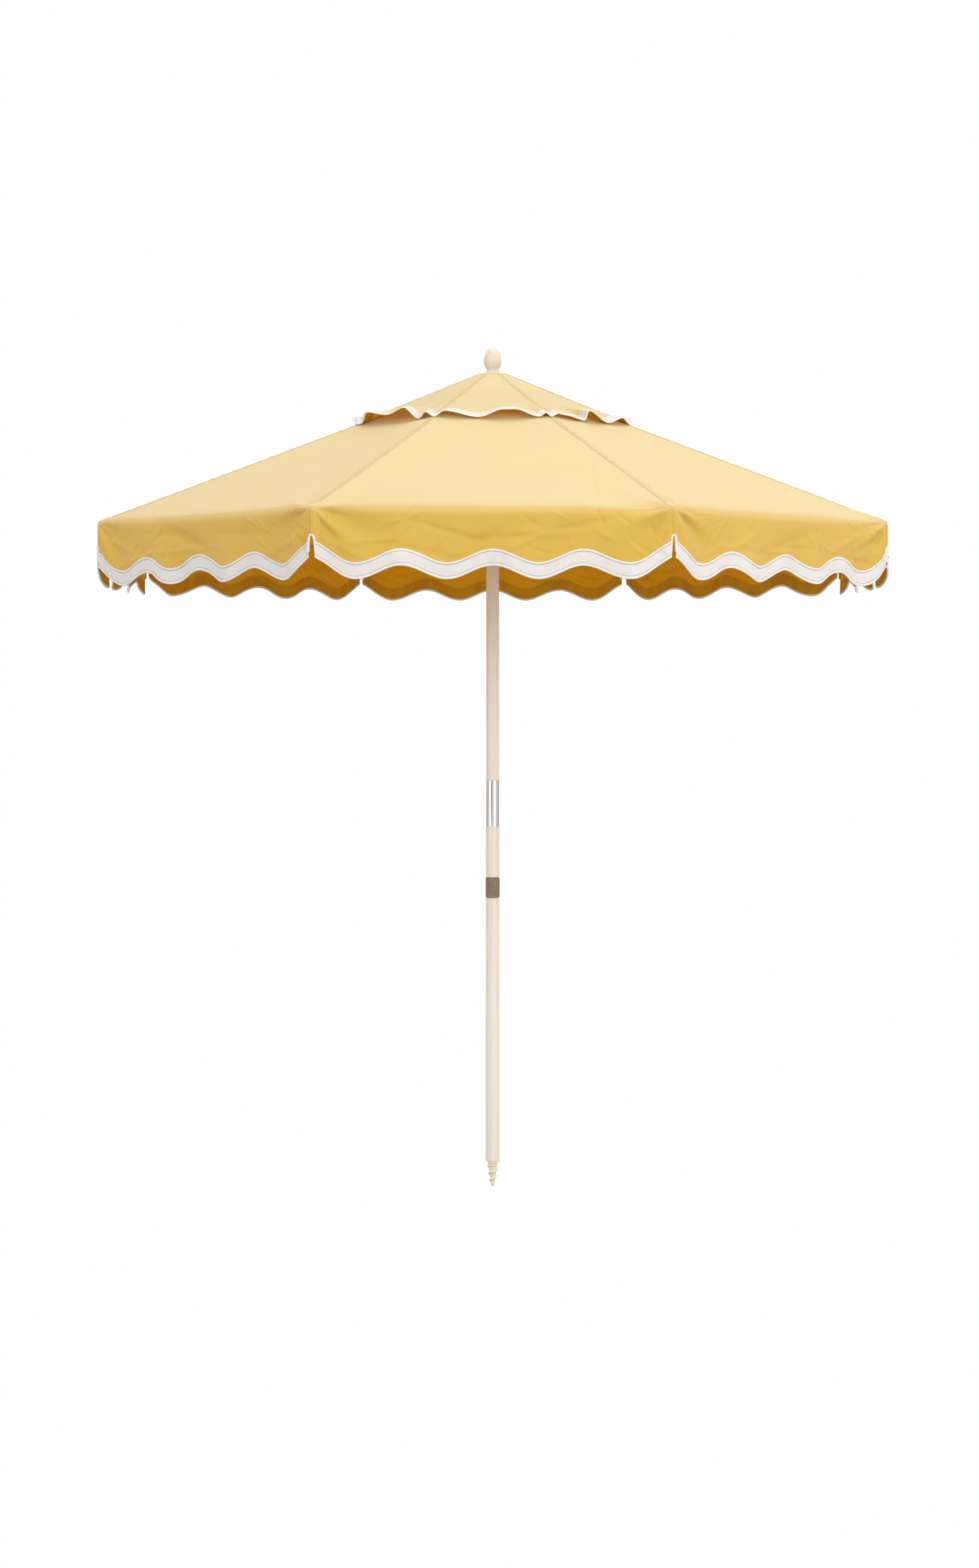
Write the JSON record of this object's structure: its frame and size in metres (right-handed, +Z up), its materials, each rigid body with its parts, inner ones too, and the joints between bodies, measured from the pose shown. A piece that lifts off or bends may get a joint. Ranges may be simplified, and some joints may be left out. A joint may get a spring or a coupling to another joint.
{
  "type": "beach umbrella",
  "caption": "Octagonal beach umbrella with a vent cap, a wavy hanging valance with a white band, a turned finial, a two-piece wooden pole and a ground screw.",
  "frame": {"origin": "point of the ground screw, on the pole's axis", "axes": "+Z up along the pole, -Y towards the front panel and the badge, +X to the right seen from the front"},
  "size_m": [1.9402, 1.9402, 2.2],
  "materials": {
    "pole_wood": "oiled pale ash, satin",
    "screw_plastic": "cream moulded",
    "sleeve_steel": "brushed",
    "small_steel": "plain",
    "badge_leather": "waxed",
    "brass": "polished",
    "finial_paint": "cream paint",
    "frame_plastic": "moulded",
    "fitting_plastic": "moulded",
    "rib_rod": "pultruded glass fibre rod",
    "strut_aluminium": "satin",
    "canopy_cloth": "woven, golden yellow",
    "valance_cloth": "woven, golden yellow with a white band"
  },
  "bodies": {
    "lower": {"lower_pole": "pole_wood", "ground_screw": "screw_plastic", "pole_sleeve": "sleeve_steel", "sleeve_screws": "small_steel", "badge": "badge_leather", "badge_tacks": "brass"},
    "upper": {"upper_pole": "pole_wood", "crown": "frame_plastic", "crown_ring": "small_steel", "canopy_collar": "canopy_cloth", "finial": "finial_paint", "finial_stud": "small_steel", "catch_pin": "small_steel"},
    "catch": {"catch_spring": "small_steel"},
    "runner": {"runner": "frame_plastic"},
    "rib_1": {"rib_1": "rib_rod", "rib_fittings_1": "fitting_plastic"},
    "strut_1": {"strut_1": "strut_aluminium"},
    "panel_1": {"canopy_panel_1": "canopy_cloth"},
    "valance_1": {"valance_1": "valance_cloth"},
    "rib_2": {"rib_2": "rib_rod", "rib_fittings_2": "fitting_plastic"},
    "strut_2": {"strut_2": "strut_aluminium"},
    "panel_2": {"canopy_panel_2": "canopy_cloth"},
    "valance_2": {"valance_2": "valance_cloth"},
    "rib_3": {"rib_3": "rib_rod", "rib_fittings_3": "fitting_plastic"},
    "strut_3": {"strut_3": "strut_aluminium"},
    "panel_3": {"canopy_panel_3": "canopy_cloth"},
    "valance_3": {"valance_3": "valance_cloth"},
    "rib_4": {"rib_4": "rib_rod", "rib_fittings_4": "fitting_plastic"},
    "strut_4": {"strut_4": "strut_aluminium"},
    "panel_4": {"canopy_panel_4": "canopy_cloth"},
    "valance_4": {"valance_4": "valance_cloth"},
    "rib_5": {"rib_5": "rib_rod", "rib_fittings_5": "fitting_plastic"},
    "strut_5": {"strut_5": "strut_aluminium"},
    "panel_5": {"canopy_panel_5": "canopy_cloth"},
    "valance_5": {"valance_5": "valance_cloth"},
    "rib_6": {"rib_6": "rib_rod", "rib_fittings_6": "fitting_plastic"},
    "strut_6": {"strut_6": "strut_aluminium"},
    "panel_6": {"canopy_panel_6": "canopy_cloth"},
    "valance_6": {"valance_6": "valance_cloth"},
    "rib_7": {"rib_7": "rib_rod", "rib_fittings_7": "fitting_plastic"},
    "strut_7": {"strut_7": "strut_aluminium"},
    "panel_7": {"canopy_panel_7": "canopy_cloth"},
    "valance_7": {"valance_7": "valance_cloth"},
    "rib_8": {"rib_8": "rib_rod", "rib_fittings_8": "fitting_plastic"},
    "strut_8": {"strut_8": "strut_aluminium"},
    "panel_8": {"canopy_panel_8": "canopy_cloth"},
    "valance_8": {"valance_8": "valance_cloth"}
  },
  "joints": [
    {"name": "upper_pole_lift", "type": "slide", "parent": "lower", "child": "upper", "axis": [0, 0, 1], "range_m": [0, 0.06]},
    {"name": "runner_slide", "type": "slide", "parent": "upper", "child": "runner", "axis": [0, 0, -1], "range_m": [0, 0.57292], "deforming": ["catch_spring"]},
    {"name": "catch_press", "type": "hinge", "parent": "upper", "child": "catch", "pos_m": [0, 0.008, 1.6477], "axis": [1, 0, 0], "range_deg": [0, 7], "stiffness_Nm_per_rad": 1.5},
    {"name": "rib_hinge_1", "type": "hinge", "parent": "upper", "child": "rib_1", "pos_m": [0.01531, -0.03696, 2.105], "axis": [0.9239, 0.3827, 0], "range_deg": [0, 63.61]},
    {"name": "strut_hinge_1", "type": "hinge", "parent": "rib_1", "child": "strut_1", "pos_m": [0.18103, -0.43705, 1.92235], "axis": [0.9239, 0.3827, 0], "range_deg": [-127.22, 0]},
    {"name": "panel_hinge_1", "type": "hinge", "parent": "upper", "child": "panel_1", "pos_m": [0, -0.037, 2.109], "axis": [1, 0, 0], "range_deg": [0, 61.86], "deforming": ["canopy_panel_1"]},
    {"name": "valance_hinge_1", "type": "hinge", "parent": "panel_1", "child": "valance_1", "pos_m": [0, -0.96907, 1.719], "axis": [1, 0, 0], "range_deg": [-61.86, 0], "deforming": ["valance_1"]},
    {"name": "rib_hinge_2", "type": "hinge", "parent": "upper", "child": "rib_2", "pos_m": [0.03696, -0.01531, 2.105], "axis": [0.3827, 0.9239, 0], "range_deg": [0, 63.61]},
    {"name": "strut_hinge_2", "type": "hinge", "parent": "rib_2", "child": "strut_2", "pos_m": [0.43705, -0.18103, 1.92235], "axis": [0.3827, 0.9239, 0], "range_deg": [-127.22, 0]},
    {"name": "panel_hinge_2", "type": "hinge", "parent": "upper", "child": "panel_2", "pos_m": [0.02616, -0.02616, 2.109], "axis": [0.7071, 0.7071, 0], "range_deg": [0, 61.86], "deforming": ["canopy_panel_2"]},
    {"name": "valance_hinge_2", "type": "hinge", "parent": "panel_2", "child": "valance_2", "pos_m": [0.68524, -0.68524, 1.719], "axis": [0.7071, 0.7071, 0], "range_deg": [-61.86, 0], "deforming": ["valance_2"]},
    {"name": "rib_hinge_3", "type": "hinge", "parent": "upper", "child": "rib_3", "pos_m": [0.03696, 0.01531, 2.105], "axis": [-0.3827, 0.9239, 0], "range_deg": [0, 63.61]},
    {"name": "strut_hinge_3", "type": "hinge", "parent": "rib_3", "child": "strut_3", "pos_m": [0.43705, 0.18103, 1.92235], "axis": [-0.3827, 0.9239, 0], "range_deg": [-127.22, 0]},
    {"name": "panel_hinge_3", "type": "hinge", "parent": "upper", "child": "panel_3", "pos_m": [0.037, 0, 2.109], "axis": [0, 1, 0], "range_deg": [0, 61.86], "deforming": ["canopy_panel_3"]},
    {"name": "valance_hinge_3", "type": "hinge", "parent": "panel_3", "child": "valance_3", "pos_m": [0.96907, 0, 1.719], "axis": [0, 1, 0], "range_deg": [-61.86, 0], "deforming": ["valance_3"]},
    {"name": "rib_hinge_4", "type": "hinge", "parent": "upper", "child": "rib_4", "pos_m": [0.01531, 0.03696, 2.105], "axis": [-0.9239, 0.3827, 0], "range_deg": [0, 63.61]},
    {"name": "strut_hinge_4", "type": "hinge", "parent": "rib_4", "child": "strut_4", "pos_m": [0.18103, 0.43705, 1.92235], "axis": [-0.9239, 0.3827, 0], "range_deg": [-127.22, 0]},
    {"name": "panel_hinge_4", "type": "hinge", "parent": "upper", "child": "panel_4", "pos_m": [0.02616, 0.02616, 2.109], "axis": [-0.7071, 0.7071, 0], "range_deg": [0, 61.86], "deforming": ["canopy_panel_4"]},
    {"name": "valance_hinge_4", "type": "hinge", "parent": "panel_4", "child": "valance_4", "pos_m": [0.68524, 0.68524, 1.719], "axis": [-0.7071, 0.7071, 0], "range_deg": [-61.86, 0], "deforming": ["valance_4"]},
    {"name": "rib_hinge_5", "type": "hinge", "parent": "upper", "child": "rib_5", "pos_m": [-0.01531, 0.03696, 2.105], "axis": [-0.9239, -0.3827, 0], "range_deg": [0, 63.61]},
    {"name": "strut_hinge_5", "type": "hinge", "parent": "rib_5", "child": "strut_5", "pos_m": [-0.18103, 0.43705, 1.92235], "axis": [-0.9239, -0.3827, 0], "range_deg": [-127.22, 0]},
    {"name": "panel_hinge_5", "type": "hinge", "parent": "upper", "child": "panel_5", "pos_m": [0, 0.037, 2.109], "axis": [-1, 0, 0], "range_deg": [0, 61.86], "deforming": ["canopy_panel_5"]},
    {"name": "valance_hinge_5", "type": "hinge", "parent": "panel_5", "child": "valance_5", "pos_m": [0, 0.96907, 1.719], "axis": [-1, 0, 0], "range_deg": [-61.86, 0], "deforming": ["valance_5"]},
    {"name": "rib_hinge_6", "type": "hinge", "parent": "upper", "child": "rib_6", "pos_m": [-0.03696, 0.01531, 2.105], "axis": [-0.3827, -0.9239, 0], "range_deg": [0, 63.61]},
    {"name": "strut_hinge_6", "type": "hinge", "parent": "rib_6", "child": "strut_6", "pos_m": [-0.43705, 0.18103, 1.92235], "axis": [-0.3827, -0.9239, 0], "range_deg": [-127.22, 0]},
    {"name": "panel_hinge_6", "type": "hinge", "parent": "upper", "child": "panel_6", "pos_m": [-0.02616, 0.02616, 2.109], "axis": [-0.7071, -0.7071, 0], "range_deg": [0, 61.86], "deforming": ["canopy_panel_6"]},
    {"name": "valance_hinge_6", "type": "hinge", "parent": "panel_6", "child": "valance_6", "pos_m": [-0.68524, 0.68524, 1.719], "axis": [-0.7071, -0.7071, 0], "range_deg": [-61.86, 0], "deforming": ["valance_6"]},
    {"name": "rib_hinge_7", "type": "hinge", "parent": "upper", "child": "rib_7", "pos_m": [-0.03696, -0.01531, 2.105], "axis": [0.3827, -0.9239, 0], "range_deg": [0, 63.61]},
    {"name": "strut_hinge_7", "type": "hinge", "parent": "rib_7", "child": "strut_7", "pos_m": [-0.43705, -0.18103, 1.92235], "axis": [0.3827, -0.9239, 0], "range_deg": [-127.22, 0]},
    {"name": "panel_hinge_7", "type": "hinge", "parent": "upper", "child": "panel_7", "pos_m": [-0.037, 0, 2.109], "axis": [0, -1, 0], "range_deg": [0, 61.86], "deforming": ["canopy_panel_7"]},
    {"name": "valance_hinge_7", "type": "hinge", "parent": "panel_7", "child": "valance_7", "pos_m": [-0.96907, 0, 1.719], "axis": [0, -1, 0], "range_deg": [-61.86, 0], "deforming": ["valance_7"]},
    {"name": "rib_hinge_8", "type": "hinge", "parent": "upper", "child": "rib_8", "pos_m": [-0.01531, -0.03696, 2.105], "axis": [0.9239, -0.3827, 0], "range_deg": [0, 63.61]},
    {"name": "strut_hinge_8", "type": "hinge", "parent": "rib_8", "child": "strut_8", "pos_m": [-0.18103, -0.43705, 1.92235], "axis": [0.9239, -0.3827, 0], "range_deg": [-127.22, 0]},
    {"name": "panel_hinge_8", "type": "hinge", "parent": "upper", "child": "panel_8", "pos_m": [-0.02616, -0.02616, 2.109], "axis": [0.7071, -0.7071, 0], "range_deg": [0, 61.86], "deforming": ["canopy_panel_8"]},
    {"name": "valance_hinge_8", "type": "hinge", "parent": "panel_8", "child": "valance_8", "pos_m": [-0.68524, -0.68524, 1.719], "axis": [0.7071, -0.7071, 0], "range_deg": [-61.86, 0], "deforming": ["valance_8"]}
  ],
  "couplings": [
    {"joint": "rib_hinge_1", "follows": "runner_slide", "rad_per_m": 1.9375},
    {"joint": "strut_hinge_1", "follows": "runner_slide", "rad_per_m": -3.875},
    {"joint": "panel_hinge_1", "follows": "runner_slide", "rad_per_m": 1.8842},
    {"joint": "valance_hinge_1", "follows": "runner_slide", "rad_per_m": -1.8842},
    {"joint": "rib_hinge_2", "follows": "runner_slide", "rad_per_m": 1.9375},
    {"joint": "strut_hinge_2", "follows": "runner_slide", "rad_per_m": -3.875},
    {"joint": "panel_hinge_2", "follows": "runner_slide", "rad_per_m": 1.8842},
    {"joint": "valance_hinge_2", "follows": "runner_slide", "rad_per_m": -1.8842},
    {"joint": "rib_hinge_3", "follows": "runner_slide", "rad_per_m": 1.9375},
    {"joint": "strut_hinge_3", "follows": "runner_slide", "rad_per_m": -3.875},
    {"joint": "panel_hinge_3", "follows": "runner_slide", "rad_per_m": 1.8842},
    {"joint": "valance_hinge_3", "follows": "runner_slide", "rad_per_m": -1.8842},
    {"joint": "rib_hinge_4", "follows": "runner_slide", "rad_per_m": 1.9375},
    {"joint": "strut_hinge_4", "follows": "runner_slide", "rad_per_m": -3.875},
    {"joint": "panel_hinge_4", "follows": "runner_slide", "rad_per_m": 1.8842},
    {"joint": "valance_hinge_4", "follows": "runner_slide", "rad_per_m": -1.8842},
    {"joint": "rib_hinge_5", "follows": "runner_slide", "rad_per_m": 1.9375},
    {"joint": "strut_hinge_5", "follows": "runner_slide", "rad_per_m": -3.875},
    {"joint": "panel_hinge_5", "follows": "runner_slide", "rad_per_m": 1.8842},
    {"joint": "valance_hinge_5", "follows": "runner_slide", "rad_per_m": -1.8842},
    {"joint": "rib_hinge_6", "follows": "runner_slide", "rad_per_m": 1.9375},
    {"joint": "strut_hinge_6", "follows": "runner_slide", "rad_per_m": -3.875},
    {"joint": "panel_hinge_6", "follows": "runner_slide", "rad_per_m": 1.8842},
    {"joint": "valance_hinge_6", "follows": "runner_slide", "rad_per_m": -1.8842},
    {"joint": "rib_hinge_7", "follows": "runner_slide", "rad_per_m": 1.9375},
    {"joint": "strut_hinge_7", "follows": "runner_slide", "rad_per_m": -3.875},
    {"joint": "panel_hinge_7", "follows": "runner_slide", "rad_per_m": 1.8842},
    {"joint": "valance_hinge_7", "follows": "runner_slide", "rad_per_m": -1.8842},
    {"joint": "rib_hinge_8", "follows": "runner_slide", "rad_per_m": 1.9375},
    {"joint": "strut_hinge_8", "follows": "runner_slide", "rad_per_m": -3.875},
    {"joint": "panel_hinge_8", "follows": "runner_slide", "rad_per_m": 1.8842},
    {"joint": "valance_hinge_8", "follows": "runner_slide", "rad_per_m": -1.8842}
  ]
}
